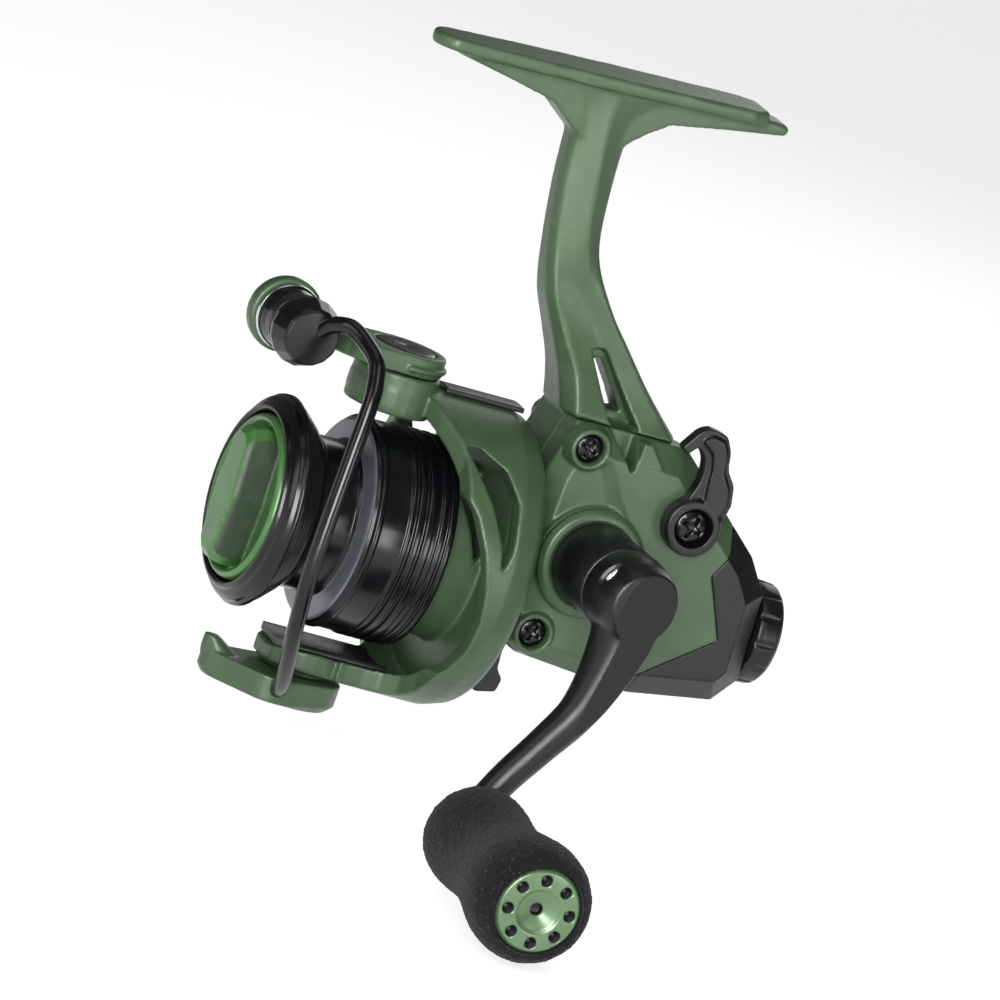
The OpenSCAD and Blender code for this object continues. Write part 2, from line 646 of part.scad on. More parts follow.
module spool_seat() color(brass) {
    shaft_tube(-12.4, -10.4, shaft_r, 4.6);
    on_shaft() translate([0, 0, -12]) tooth_ring(24, 7, 7.9, 1.2);
    shaft_tube(-12, -10.8, 4.4, 6.2);
}

module seat_washer() color(felt) shaft_tube(-12.95, -12.45, shaft_r + run, 4.6);

module spool() color(gloss) turned([[14.6, -36.8], [15.4, -37.2], [16.1, -36.6],
    [lip_r, -34], [lip_r, -33], [17.2, -32.7], [17.2, -31.9], [16.3, -31.6],
    [16.3, -30.8], [15.3, -30.5], [14.2, -29.2], [arbor_r, -28.4],
    [arbor_r, -22.2], [13.8, -21.7], [16.8, -21.4], [17.3, -20.8],
    [skirt_r, -19.9], [skirt_r, -14.7], [17.6, -14.5], [17.6, -13.9],
    [skirt_r, -13.7], [skirt_r, -12.5], [17.6, -12.3], [17.6, -11.7],
    [skirt_r, -11.5], [skirt_r, -9.7], [17.6, -9.5], [17.6, -8.9],
    [skirt_r, -8.7], [skirt_r, -6.6], [17.8, -6.2], [17, -6.2], [17, -19.2],
    [11.4, -19.2], [11.4, -24.4], [5, -24.4], [5, -13], [3, -13],
    [3, -26.2], [10.4, -26.2], [10.4, -33.6], [14.6, -33.6]]);

module spool_bush() color(brass) shaft_tube(-26.2, -13, shaft_r + run, 3);

module drag_discs() color(steel) for (x = [-27, -28.4, -29.8])
    shaft_tube(x - 0.6, x, 2.3, 10.2);

module drag_felts() color(felt) for (x = [-26.2, -27.6, -29])
    shaft_tube(x - 0.8, x, 3.4, 9.6);

module drag_clip() color(steel) difference() {
    shaft_tube(-31, -30.45, 9.3, 10.35);
    translate([-32, -2, -axis_h]) cube([2, 4, 12]);
}

module click_pawl() color(brass) on_shaft() translate([0, 0, -19.2]) {
    translate([-10, 0, 0]) cylinder(r = 1.2, h = 7.4, $fn = 32);
    translate([-10.6, -0.8, 6.6]) cube([2.4, 1.6, 0.9]);
}

module line_clip() color(steel) translate([-11.8, 0, -axis_h]) rotate([-115, 0, 0])
    translate([0, 0, skirt_r + 0.02]) linear_extrude(0.7) offset(r = 0.8, $fn = 32)
    square([2.4, 1.6], center = true);

module drag_knob() color(leaf) difference() {
    union() {
        turned([[0, -34.9], [12.4, -34.9], [12.6, -37], [13.2, -37.5],
            [13.9, -37.3], [14.2, -36.6], [14.2, -33.9], [8.8, -33.9],
            [8.8, -31.5], [0, -31.5]]);
        // Raised grip bar across the dish
        on_shaft() translate([0, 0, -40.7]) linear_extrude(6)
            polygon([[-12, -1.5], [-9.6, -2.9], [0, -3.4], [9.6, -2.9],
                [12, -1.5], [12, 1.5], [9.6, 2.9], [0, 3.4], [-9.6, 2.9],
                [-12, 1.5]]);
    }
    shaft_tube(-39.8, -30, 0, 2.9);
}

module drag_nut() color(brass) shaft_tube(-39.7, -31.6, shaft_r + run, 2.9);

module drag_spring() color(steel) shaft_tube(-31.4, -30.5, 4.6, 8.2);

module osc_gear() color(black) side() translate([33, -82.5, 0]) difference() {
    union() {
        translate([0, 0, -7]) rotate([0, 0, 9]) tooth_ring(20, 7.2, 8.1, 2.4);
        translate([0, 0, -7]) cylinder(r = 6.6, h = 1.4, $fn = fa);
        translate([0, 0, -10.4]) cylinder(r = 2, h = 4, $fn = fa);
        rotate([0, 0, 60]) translate([4.8, 0, -5.8]) cylinder(r = 1.3, h = 1.4, $fn = 32);
    }
    for (a = [0:120:240]) rotate([0, 0, a]) translate([4.2, 0, -8])
        cylinder(r = 0.9, h = 2, $fn = 32);
}

module reverse_lever() color(black) translate([15.5, 4, -96]) {
    rotate([0, 90, 0]) cylinder(r = 0.6, h = 7.6, center = true, $fn = 32);
    rotate([0, 90, 0]) cylinder(r = 1.3, h = 4, center = true, $fn = 48);
    translate([-1.5, -1, -7.4]) cube([3, 2, 7.4]);
    translate([-1.9, -1.4, -9]) cube([3.8, 2.8, 2.4]);
}

module bait_lever() color(black) side() translate([34.5, -67.8, 0]) difference() {
    union() {
        translate([0, 0, case_half + 0.2]) cylinder(r = 5, h = 3.1, $fn = 48);
        // Arm with a hooked thumb tab
        translate([0, 0, case_half + 0.3]) linear_extrude(2.5) polygon([[-4.1, 1.8],
            [-2.6, 4.2], [-1.5, 7.4], [-1.5, 9.8], [-2, 11.9], [-3.7, 13.6],
            [-5.1, 11.6], [-6.6, 12.5], [-4.1, 16.2], [-2.4, 17], [0.7, 16.4],
            [2.2, 13.8], [2.7, 10.9], [4.7, 8.5], [5.4, 5.2], [4.7, 2], [3.7, -1.4]]);
    }
    translate([0, 0, case_half - 2]) cylinder(r = 1.55, h = 8, $fn = 48);
    translate([0, 0, case_half + 1.7]) cylinder(r = 3.25, h = 8, $fn = 48);
}

module bait_screw() color(gloss) side() translate([34.5, -67.8, case_half + 1.75])
    cross_screw(3.1, 1.5, 1.5, 9);

module rear_knob() color(black) difference() {
    turned([[0, 49.6], [3.6, 49.6], [3.6, 54.8], [7.6, 54.8], [8.6, 55.4], [8.8, 56.4], [8.6, 59],
        [7.8, 59.8], [5.6, 59.8], [5, 59.2], [0, 59.2]]);
    for (a = [0:30:330]) on_shaft() rotate([0, 0, a]) translate([9.3, 0, 54])
        cylinder(r = 0.9, h = 8, $fn = 32);
}

module rear_spring() color(steel) shaft_tube(47.9, 49.5, 2.3, 3.5);

body_housing();
side_cover();
rear_cover();
cover_screws();
handle_ring();
axle_cap();
axle_bearings();
pinion_bearing();
clutch_ring();
clutch_rollers();
clutch_plate();
plate_screws();
guide_rod();
drive_gear();
crank_collar();
crank_arm();
fold_button();
knob_axle();
axle_nut();
knob_grip();
knob_core();
knob_cap();
rotor();
arm_trim();
arm_liner();
pinion();
clutch_sleeve();
rotor_nut();
nut_washer();
bail_pins();
bail_arm();
arm_inlay();
bail_wire();
roller_cone();
roller_axle();
bail_lever();
lever_screw();
line_roller();
roller_bush();
main_shaft();
slider_block();
slider_screws();
spool_seat();
seat_washer();
spool();
spool_bush();
drag_discs();
drag_felts();
drag_clip();
click_pawl();
line_clip();
drag_knob();
drag_nut();
drag_spring();
osc_gear();
reverse_lever();
bait_lever();
bait_screw();
rear_knob();
rear_spring();
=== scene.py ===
"""Looks of the open-face spinning reel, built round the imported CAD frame.

Lengths are written in millimetres and turned into metres by MM.  The row frame
has +Z up to the rod, the spool looking along -X and the crank along -Y.
"""
import json
import math

import bmesh
import bpy
from mathutils import Matrix, Vector, noise


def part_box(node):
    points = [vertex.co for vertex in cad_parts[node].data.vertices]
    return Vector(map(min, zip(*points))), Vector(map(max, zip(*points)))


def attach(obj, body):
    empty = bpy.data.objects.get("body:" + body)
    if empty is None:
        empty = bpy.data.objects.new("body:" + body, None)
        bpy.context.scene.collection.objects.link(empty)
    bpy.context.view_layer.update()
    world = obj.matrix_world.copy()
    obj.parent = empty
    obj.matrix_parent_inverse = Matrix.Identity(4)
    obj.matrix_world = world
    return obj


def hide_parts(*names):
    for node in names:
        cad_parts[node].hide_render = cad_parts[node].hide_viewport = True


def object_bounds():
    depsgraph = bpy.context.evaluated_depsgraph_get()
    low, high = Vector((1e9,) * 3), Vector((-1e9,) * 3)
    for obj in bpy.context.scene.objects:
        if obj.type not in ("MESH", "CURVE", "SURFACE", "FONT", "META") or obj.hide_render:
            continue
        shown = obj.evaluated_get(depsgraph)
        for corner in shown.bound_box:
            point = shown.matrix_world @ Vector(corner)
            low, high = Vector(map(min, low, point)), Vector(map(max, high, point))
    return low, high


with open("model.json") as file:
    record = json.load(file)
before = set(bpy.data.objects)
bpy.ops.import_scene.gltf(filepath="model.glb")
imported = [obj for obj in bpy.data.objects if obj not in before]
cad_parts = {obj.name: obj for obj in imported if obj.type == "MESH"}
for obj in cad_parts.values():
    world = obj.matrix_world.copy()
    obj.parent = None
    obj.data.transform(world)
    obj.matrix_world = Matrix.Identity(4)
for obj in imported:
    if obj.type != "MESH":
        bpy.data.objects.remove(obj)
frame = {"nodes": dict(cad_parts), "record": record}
cad_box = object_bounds()
MM = 0.001
NODE_BODY = {n: b for b, ns in frame["record"]["behaviour"]["bodies"].items() for n in ns}


# ---------------------------------------------------------------- places

def middle(node):
    """Centre of a CAD node's box, in millimetres."""
    lo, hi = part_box(node)
    return (lo + hi) / 2 / MM


def span(node, axis):
    """Lowest and highest place of a CAD node along one axis, in millimetres."""
    lo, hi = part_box(node)
    return lo[axis] / MM, hi[axis] / MM


SHAFT_Z = middle("main_shaft").z
AXLE = middle("handle_ring")
PIVOT = middle("arm_inlay")
ROLLER = middle("roller_axle")
SWITCH = middle("bait_screw")
KNOB_JOINT = next(j for j in frame["record"]["behaviour"]["joints"] if j["name"] == "knob_spin")
KNOB, KNOB_AXIS = Vector(KNOB_JOINT["pos_m"]) / MM, Vector(KNOB_JOINT["axis"])
PART_Z = span("side_cover", 2)[1]
SCREWS = [(13.9, -60.2), (15.2, -92.6)]  # (x, z) of the side cover's screws
FORWARD, CRANK_SIDE, UP = (1, 0, 0), (0, -1, 0), (0, 0, 1)  # axes that bodies are turned about


# ---------------------------------------------------------------- materials

def linear(*rgb):
    """Linear colour from 0-255 screen values."""
    return tuple((v / 255 / 12.92) if v < 10 else ((v / 255 + 0.055) / 1.055) ** 2.4 for v in rgb) + (1,)


def finish_of(name, light, dark, rough, metal=0.0, coat=0.0, coat_rough=0.1, sheen=0.0,
              mottle=250, patch=(0.3, 0.7), grain=4000, bump=0.03, wear_and_highlight=0.0, spec=0.5):
    """A moulded, painted or turned surface: mottled colour, fine grain and paler edges, partly wear and
    partly painted highlight.
    """
    mat = bpy.data.materials.new(name)
    mat.use_nodes = True
    nodes, links = mat.node_tree.nodes, mat.node_tree.links
    shader = nodes["Principled BSDF"]
    shader.inputs["Metallic"].default_value = metal
    shader.inputs["Coat Weight"].default_value = coat
    shader.inputs["Coat Roughness"].default_value = coat_rough
    shader.inputs["Sheen Weight"].default_value = sheen
    shader.inputs["Specular IOR Level"].default_value = spec
    place = nodes.new("ShaderNodeTexCoord")

    def cloud(scale, detail):
        tex = nodes.new("ShaderNodeTexNoise")
        tex.inputs["Scale"].default_value = scale
        tex.inputs["Detail"].default_value = detail
        links.new(place.outputs["Object"], tex.inputs["Vector"])
        return tex.outputs["Fac"]

    def spread(value, lo, hi, out_lo, out_hi):
        ranged = nodes.new("ShaderNodeMapRange")
        for socket, number in zip(("From Min", "From Max", "To Min", "To Max"), (lo, hi, out_lo, out_hi)):
            ranged.inputs[socket].default_value = number
        links.new(value, ranged.inputs["Value"])
        return ranged.outputs["Result"]

    def mixed(share, a, b):
        mix = nodes.new("ShaderNodeMix")
        mix.data_type = "RGBA"
        links.new(share, mix.inputs["Factor"])
        for socket, colour in ((mix.inputs["A"], a), (mix.inputs["B"], b)):
            if isinstance(colour, tuple):
                socket.default_value = colour
            else:
                links.new(colour, socket)
        return mix.outputs["Result"]

    colour = mixed(spread(cloud(mottle, 4), *patch, 0, 1), light, dark)
    # Convex edges are made paler from pointiness: partly wear, partly a painted highlight along the edges
    if wear_and_highlight:
        point = nodes.new("ShaderNodeNewGeometry").outputs["Pointiness"]
        pale = tuple(min(1, c * 1.9 + 0.02) for c in light[:3]) + (1,)
        colour = mixed(spread(point, 0.52, 0.62, 0, wear_and_highlight), colour, pale)
    links.new(colour, shader.inputs["Base Color"])
    links.new(spread(cloud(mottle * 3, 3), 0.3, 0.7, rough * 0.88, rough * 1.12), shader.inputs["Roughness"])
    ripple = nodes.new("ShaderNodeBump")
    ripple.inputs["Strength"].default_value = bump
    ripple.inputs["Distance"].default_value = 0.0002
    links.new(cloud(grain, 2), ripple.inputs["Height"])
    links.new(ripple.outputs["Normal"], shader.inputs["Normal"])
    return mat


GREEN = finish_of("green_paint", linear(56, 76, 52), linear(50, 69, 47), 0.42, metal=0.2,
                  coat=0.1, coat_rough=0.3, wear_and_highlight=0.1, bump=0.05, spec=0.35)
LEAF = finish_of("leaf_anodised", linear(62, 104, 54), linear(54, 92, 47), 0.32, metal=0.3,
                 coat=0.1, coat_rough=0.25, wear_and_highlight=0.1)
# Darker leaf green: painted shade for the drag bar's sides
SHADE = finish_of("leaf_painted_shade_side", linear(36, 52, 33), linear(30, 44, 28), 0.5)
BLACK = finish_of("black_moulded", linear(13, 13, 16), linear(9, 9, 11), 0.34, bump=0.1,
                  grain=6000, wear_and_highlight=0.05, spec=0.32)
GLOSS = finish_of("black_lacquer", linear(7, 7, 10), linear(5, 5, 8), 0.22, coat=0.06,
                  coat_rough=0.06, bump=0.01, spec=0.32)
FOAM = finish_of("foam_rubber", linear(14, 14, 16), linear(50, 50, 53), 0.95, sheen=0.05,
                 mottle=1500, patch=(0.58, 0.74), grain=2600, bump=1.0, spec=0.12)
PALE = finish_of("pale_anodised", linear(84, 108, 78), linear(76, 100, 70), 0.3, metal=0.4, coat=0.2,
                 coat_rough=0.25)
STEEL = finish_of("bright_steel", linear(205, 206, 208), linear(186, 187, 190), 0.22, metal=1.0)
BRASS = finish_of("brass", linear(205, 170, 95), linear(190, 152, 80), 0.28, metal=1.0)
FELT = finish_of("drag_felt", linear(150, 140, 120), linear(120, 112, 95), 0.9, mottle=3000, bump=0.6)
WASHED = finish_of("grey_flange", linear(96, 98, 106), linear(84, 86, 95), 0.3, metal=0.5)
SLOT_MATERIAL = {"green_body": GREEN, "green_metal": GREEN, "leaf_green": LEAF, "black_plastic": BLACK,
                 "black_gloss": GLOSS, "foam": FOAM, "steel": STEEL, "brass": BRASS, "felt": FELT}
NODE_SLOT = {s["node"]: s["material_slot"] for s in frame["record"]["subparts"]}


# ---------------------------------------------------------------- mesh helpers

def add_piece(name, mesh, materials, body, stands_for):
    """A finished mesh in the row frame, riding on its body in place of its CAD nodes."""
    obj = bpy.data.objects.new(name, mesh)
    bpy.context.scene.collection.objects.link(obj)
    for mat in materials if isinstance(materials, (list, tuple)) else [materials]:
        mesh.materials.append(mat)
    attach(obj, body)
    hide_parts(*stands_for)
    return obj


def to_mesh(bm, name, smooth=True):
    """Mesh from bmesh, millimetres to metres, outward normals."""
    bmesh.ops.recalc_face_normals(bm, faces=bm.faces)
    bmesh.ops.scale(bm, vec=(MM, MM, MM), verts=bm.verts)
    for f in bm.faces:
        f.smooth = smooth
    mesh = bpy.data.meshes.new(name)
    bm.to_mesh(mesh)
    bm.free()
    return mesh


def evaluated(mesh, *steps):
    """The mesh after a row of modifiers, each given as (type, {setting: value})."""
    obj = bpy.data.objects.new("work", mesh)
    bpy.context.scene.collection.objects.link(obj)
    for kind, settings in steps:
        mod = obj.modifiers.new(kind, kind)
        for key, value in settings.items():
            setattr(mod, key, value)
    bpy.context.view_layer.update()
    made = bpy.data.meshes.new_from_object(obj.evaluated_get(bpy.context.evaluated_depsgraph_get()))
    bpy.data.objects.remove(obj)
    return made


def boolean(mesh, tools, operation):
    """mesh with closed tool meshes cut from it or kept from it."""
    for tool in tools:
        other = bpy.data.objects.new("tool", tool)
        bpy.context.scene.collection.objects.link(other)
        mesh = evaluated(mesh, ("BOOLEAN", {"operation": operation, "object": other, "solver": "EXACT"}))
        bpy.data.objects.remove(other)
    return mesh


def joined(*meshes):
    """One mesh holding copies of several."""
    bm = bmesh.new()
    for mesh in meshes:
        bm.from_mesh(mesh)
    made = bpy.data.meshes.new("joined")
    bm.to_mesh(made)
    bm.free()
    return made


def softened(mesh, voxel, rounds):
    """mesh fused into one skin with small fillets on its edges."""
    made = evaluated(mesh, ("REMESH", {"mode": "VOXEL", "voxel_size": voxel * MM}),
                     ("SMOOTH", {"factor": 0.5, "iterations": rounds}))
    for p in made.polygons:
        p.use_smooth = True
    return made


def paint(mesh, test):
    """Second material on the faces whose centre (in millimetres) and normal pass the test."""
    for p in mesh.polygons:
        if test(p.center / MM, p.normal):
            p.material_index = 1
    return mesh


def rounded(bm, size, sharp):
    """Bevel the edges that are sharper than an angle in degrees."""
    edges = [e for e in bm.edges if e.is_manifold and e.calc_face_angle() > math.radians(sharp)]
    bmesh.ops.bevel(bm, geom=edges, offset=size, segments=2, profile=0.5, affect="EDGES",
                    clamp_overlap=True)
    return bm


def cad_mesh(node):
    """Copy of a CAD node's mesh, with its corners welded."""
    bm = bmesh.new()
    bm.from_mesh(frame["nodes"][node].data)
    bmesh.ops.remove_doubles(bm, verts=bm.verts, dist=0.002 * MM)
    made = bpy.data.meshes.new(node)
    bm.to_mesh(made)
    bm.free()
    return made


def arc(cx, cy, r, start, end, steps):
    """Points on an arc, angles in degrees."""
    turn = [math.radians(start + (end - start) * i / steps) for i in range(steps + 1)]
    return [(cx + r * math.cos(a), cy + r * math.sin(a)) for a in turn]


def filleted(points, radius, steps=4):
    """An outline whose corners are rounded, as far as its edges leave room."""
    made = []
    for i, p in enumerate(points):
        here = Vector(p)
        back, ahead = Vector(points[i - 1]) - here, Vector(points[(i + 1) % len(points)]) - here
        cut = min(radius, back.length * 0.45, ahead.length * 0.45)
        a, b = here + back.normalized() * cut, here + ahead.normalized() * cut
        for k in range(steps + 1):
            t = k / steps
            made.append(tuple(a.lerp(here, t).lerp(here.lerp(b, t), t)))
    return made


def turned(profile, centre, axis, steps=128):
    """Closed body turned about an axis from (radius, along) points."""
    bm = bmesh.new()
    along = Vector(axis).normalized()
    side = along.orthogonal().normalized()
    other = along.cross(side)
    rings = []
    for i in range(steps):
        a = 2 * math.pi * i / steps
        out = side * math.cos(a) + other * math.sin(a)
        rings.append([bm.verts.new(Vector(centre) + along * h + out * r) for r, h in profile])
    for i in range(steps):
        here, after = rings[i], rings[(i + 1) % steps]
        for k in range(len(profile)):
            m = (k + 1) % len(profile)
            bm.faces.new((here[k], here[m], after[m], after[k]))
    bmesh.ops.remove_doubles(bm, verts=bm.verts, dist=1e-4)
    return bm


def prism(points, low, high, normal="y", bevel=0.0):
    """Closed slab from an outline: (x, z) points across y, or (x, y) points up z."""
    bm = bmesh.new()
    lay = (lambda p, h: Vector((p[0], h, p[1]))) if normal == "y" else (lambda p, h: Vector((p[0], p[1], h)))
    floor = [bm.verts.new(lay(p, low)) for p in points]
    roof = [bm.verts.new(lay(p, high)) for p in points]
    bm.faces.new(floor)
    bm.faces.new(roof[::-1])
    for i in range(len(points)):
        j = (i + 1) % len(points)
        bm.faces.new((floor[i], roof[i], roof[j], floor[j]))
    if bevel:
        bmesh.ops.bevel(bm, geom=list(bm.edges), offset=bevel, segments=3, profile=0.5, affect="EDGES",
                        clamp_overlap=True)
    return bm


def between(a, b, c, d, t):
    """Point at share t of the way from b to c on a smooth curve through four knots."""
    return 0.5 * (2 * b + (c - a) * t + (2 * a - 5 * b + 4 * c - d) * t * t
                  + (3 * b - 3 * c + d - a) * t ** 3)


def smooth_path(knots, per_knot):
    """Points on a smooth curve through the knots."""
    k = [Vector(p) for p in knots]
    made = []
    for i in range(len(k) - 1):
        four = k[max(i - 1, 0)], k[i], k[i + 1], k[min(i + 2, len(k) - 1)]
        made += [between(*four, s / per_knot) for s in range(per_knot)]
    return made + [k[-1]]


def sliced(mesh, point, normal):
    """mesh without what lies past a plane, its opening filled; the point is in millimetres."""
    bm = bmesh.new()
    bm.from_mesh(mesh)
    cut = bmesh.ops.bisect_plane(bm, geom=bm.verts[:] + bm.edges[:] + bm.faces[:], plane_no=normal,
                                 plane_co=Vector(point) * MM, clear_outer=True)
    rim = [e for e in cut["geom_cut"] if isinstance(e, bmesh.types.BMEdge)]
    bmesh.ops.holes_fill(bm, edges=rim)
    made = bpy.data.meshes.new("sliced")
    bm.to_mesh(made)
    bm.free()
    return made


def tube(path, radii, sides):
    """Closed bar with rounded ends along a path; radii is one number or one for each point."""
    radii = [radii] * len(path) if isinstance(radii, (int, float)) else list(radii)
    path = [Vector(p) for p in path]
    head, tail = (path[0] - path[1]).normalized(), (path[-1] - path[-2]).normalized()
    caps = [(math.sin(a), math.cos(a)) for a in (math.radians(d) for d in (78, 55, 30))]
    first = [(path[0] + head * radii[0] * s, radii[0] * c) for s, c in caps]
    last = [(path[-1] + tail * radii[-1] * s, radii[-1] * c) for s, c in reversed(caps)]
    path = [p for p, r in first] + path + [p for p, r in last]
    radii = [r for p, r in first] + radii + [r for p, r in last]
    bm = bmesh.new()
    side, rings = None, []
    for i, p in enumerate(path):
        ahead = (path[min(i + 1, len(path) - 1)] - path[max(i - 1, 0)]).normalized()
        side = ahead.orthogonal() if side is None else side - ahead * side.dot(ahead)
        side.normalize()
        other = ahead.cross(side)
        rings.append([bm.verts.new(p + (side * math.cos(a) + other * math.sin(a)) * radii[i])
                      for a in (2 * math.pi * s / sides for s in range(sides))])
    for low, high in zip(rings, rings[1:]):
        for s in range(sides):
            bm.faces.new((low[s], low[(s + 1) % sides], high[(s + 1) % sides], high[s]))
    bm.faces.new(rings[0][::-1])
    bm.faces.new(rings[-1])
    return bm


def loft(sections):
    """Closed body through rings of equal length."""
    bm = bmesh.new()
    rings = [[bm.verts.new(p) for p in ring] for ring in sections]
    n = len(rings[0])
    for low, high in zip(rings, rings[1:]):
        for s in range(n):
            bm.faces.new((low[s], low[(s + 1) % n], high[(s + 1) % n], high[s]))
    bm.faces.new(rings[0][::-1])
    bm.faces.new(rings[-1])
    return bm


# ---------------------------------------------------------------- camera, light and floor

FOCAL, DISTANCE, PICTURE_CENTRE = 864, 3960, Vector((0.59, -13.9, -71.95))


def studio():
    """Camera at the photograph's angle, soft white light and a plain pale floor."""
    scene = bpy.context.scene
    scene.view_settings.view_transform = "Standard"
    right = Vector((0.8867, -0.3273, 0.3275)).normalized()
    back = right.cross(Vector((-0.2393, 0.2812, 0.9287))).normalized()
    up = back.cross(right)
    lens = bpy.data.cameras.new("camera")
    lens.lens = FOCAL
    lens.clip_end = 50
    camera = bpy.data.objects.new("camera", lens)
    scene.collection.objects.link(camera)
    turn = Matrix((right, up, back)).transposed().to_4x4()
    camera.matrix_world = Matrix.Translation((PICTURE_CENTRE + back * DISTANCE) * MM) @ turn
    scene.camera = camera

    world = bpy.data.worlds.new("studio")
    world.use_nodes = True
    sky = world.node_tree
    background = sky.nodes["Background"]
    place = sky.nodes.new("ShaderNodeTexCoord")
    parts = sky.nodes.new("ShaderNodeSeparateXYZ")
    ramp = sky.nodes.new("ShaderNodeValToRGB")
    sky.links.new(place.outputs["Generated"], parts.inputs["Vector"])
    sky.links.new(parts.outputs["Z"], ramp.inputs["Fac"])
    sky.links.new(ramp.outputs["Color"], background.inputs["Color"])
    ramp.color_ramp.elements[0].color = (0.75, 0.75, 0.75, 1)
    ramp.color_ramp.elements[1].color = (1, 1, 1, 1)
    background.inputs["Strength"].default_value = 0.13
    scene.world = world

    def softbox(name, place, aim, width, height, power):
        lamp = bpy.data.lights.new(name, "AREA")
        lamp.shape = "RECTANGLE"
        lamp.size, lamp.size_y, lamp.energy = width, height, power
        obj = bpy.data.objects.new(name, lamp)
        scene.collection.objects.link(obj)
        obj.location = place
        obj.rotation_euler = (Vector(aim) - Vector(place)).to_track_quat("-Z", "Y").to_euler()

    heart = (0, 0, -0.075)
    softbox("front", (-0.34, -0.78, 0.12), heart, 0.4, 0.5, 12.0)
    softbox("left", (-0.80, -0.20, 0.20), heart, 0.3, 0.5, 1.4)
    softbox("above", (-0.05, -0.50, 0.58), heart, 0.35, 0.35, 1.1)
    softbox("right", (0.40, -0.80, -0.04), heart, 0.2, 0.35, 2.2)
    softbox("strip", (-0.35, -0.60, -0.02), heart, 0.06, 0.6, 0.7)
    softbox("top", (-0.15, 0.05, 0.60), heart, 0.4, 0.4, 0.35)
    softbox("back", (0.45, 0.55, 0.25), heart, 0.4, 0.4, 0.9)

    floor = finish_of("floor", (0.60, 0.60, 0.60, 1), (0.59, 0.59, 0.59, 1), 0.9, mottle=3, bump=0.0)
    floor.node_tree.nodes["Principled BSDF"].inputs["Emission Color"].default_value = (1, 1, 1, 1)
    floor.node_tree.nodes["Principled BSDF"].inputs["Emission Strength"].default_value = 0.72
    bm = bmesh.new()
    low = cad_box[0].z - 0.0015
    bmesh.ops.create_grid(bm, x_segments=8, y_segments=8, size=12)
    mesh = bpy.data.meshes.new("floor")
    bm.to_mesh(mesh)
    bm.free()
    mesh.materials.append(floor)
    ground = bpy.data.objects.new("floor", mesh)
    ground.location.z = low
    scene.collection.objects.link(ground)


# ---------------------------------------------------------------- casing

def stem():
    """Loft of the leg: front edge, ridge that turns into a valley, and back edge."""
    # height, front x, front edge (x, half width), ridge (x, half width), back edge (x, half width), back x
    rows = [(-1.6, -8.4, (-7.0, 3.4), (0.8, 5.4), (11.2, 3.4), 12.6),
            (-4.6, -6.0, (-5.2, 3.1), (0.9, 5.2), (7.6, 3.1), 8.6),
            (-9.0, -4.4, (-3.7, 2.9), (0.9, 5.0), (5.4, 2.9), 6.1),
            (-20, -3.2, (-2.5, 2.8), (2.6, 4.9), (5.8, 3.0), 6.4),
            (-30, -1.4, (-0.5, 3.2), (4.7, 4.7), (7.4, 3.6), 8.0),
            (-38, 0.8, (2.1, 4.3), (8.6, 4.1), (12.2, 4.6), 13.0),
            (-44, 4.0, (5.6, 5.2), (12.8, 4.3), (17.6, 5.2), 18.5),
            (-50, 7.2, (9.6, 6.4), (17.6, 5.4), (23.2, 6.2), 24.2),
            (-56.4, 9.6, (11.2, 8.2), (22.4, 8.0), (29.6, 8.0), 31.2)]
    flat = [[z, xf, *a, *b, *c, xb] for z, xf, a, b, c, xb in rows]
    fine = []
    for i in range(len(flat) - 1):
        k = [flat[max(i - 1, 0)], flat[i], flat[i + 1], flat[min(i + 2, len(flat) - 1)]]
        fine += [[between(*column, s / 6) for column in zip(*k)] for s in range(6)]
    fine.append(flat[-1])
    rings = []
    for z, xf, x1, s1, xr, sr, x2, s2, xb in fine:
        near = [(xf, -s1 * 0.55), (x1, -s1), (xr, -sr), (x2, -s2), (xb, -s2 * 0.55)]
        rings.append([Vector((x, y, z)) for x, y in near + [(x, -y) for x, y in reversed(near)]])
    return to_mesh(loft(rings), "stem")


def foot():
    """Seat plate with a rounded nose, a rib under it and a thin tongue at the heel."""
    lean = Matrix.Rotation(math.radians(-2), 4, "Y")
    nose = arc(-27.6, 0, 4.6, 112, 248, 12)
    plate = prism(nose + [(-12, -5.7), (2, -6), (25, -5.6), (28.2, -3.6), (28.2, 3.6), (25, 5.6),
                          (2, 6), (-12, 5.7)], -2.3, 0, normal="z", bevel=0.35)
    rib = prism([(-29.5, -1.5), (-28.6, -2.6), (-9.5, -6.6), (-6.2, -9.6), (-3, -12), (4.6, -12), (7.6, -8.6),
                 (11.5, -6.0), (32.2, -3.6), (32.6, -2.6), (32.0, -1.7), (26, -1.2)], -3.4, 3.4, bevel=0.5)
    meshes = []
    for bm in (plate, rib):
        bmesh.ops.transform(bm, matrix=lean, verts=bm.verts)
        meshes.append(to_mesh(bm, "foot"))
    return joined(*meshes)


def housing():
    """Foot, stem and the far half of the casing in one cast skin."""
    casing = sliced(cad_mesh("body_housing"), (0, 0, PART_Z - 0.3), UP)
    skin = joined(casing, foot(), stem())
    window = to_mesh(prism([(12.9, -46.6), (14.4, -46.6), (20.8, -54.6), (17.2, -54.6)], -20, 20), "tool")
    recess = [(11.2, -45), (13.9, -44.7), (23.2, -56.2), (17.6, -56.2)]
    sides = ((-20, -2.6), (2.6, 20))
    tools = [window] + [to_mesh(prism(filleted(recess, 0.6), *ends), "tool") for ends in sides]
    made = softened(boolean(softened(skin, 0.34, 5), tools, "DIFFERENCE"), 0.3, 3)
    add_piece("cast_housing", made, GREEN, "housing", ["body_housing"])


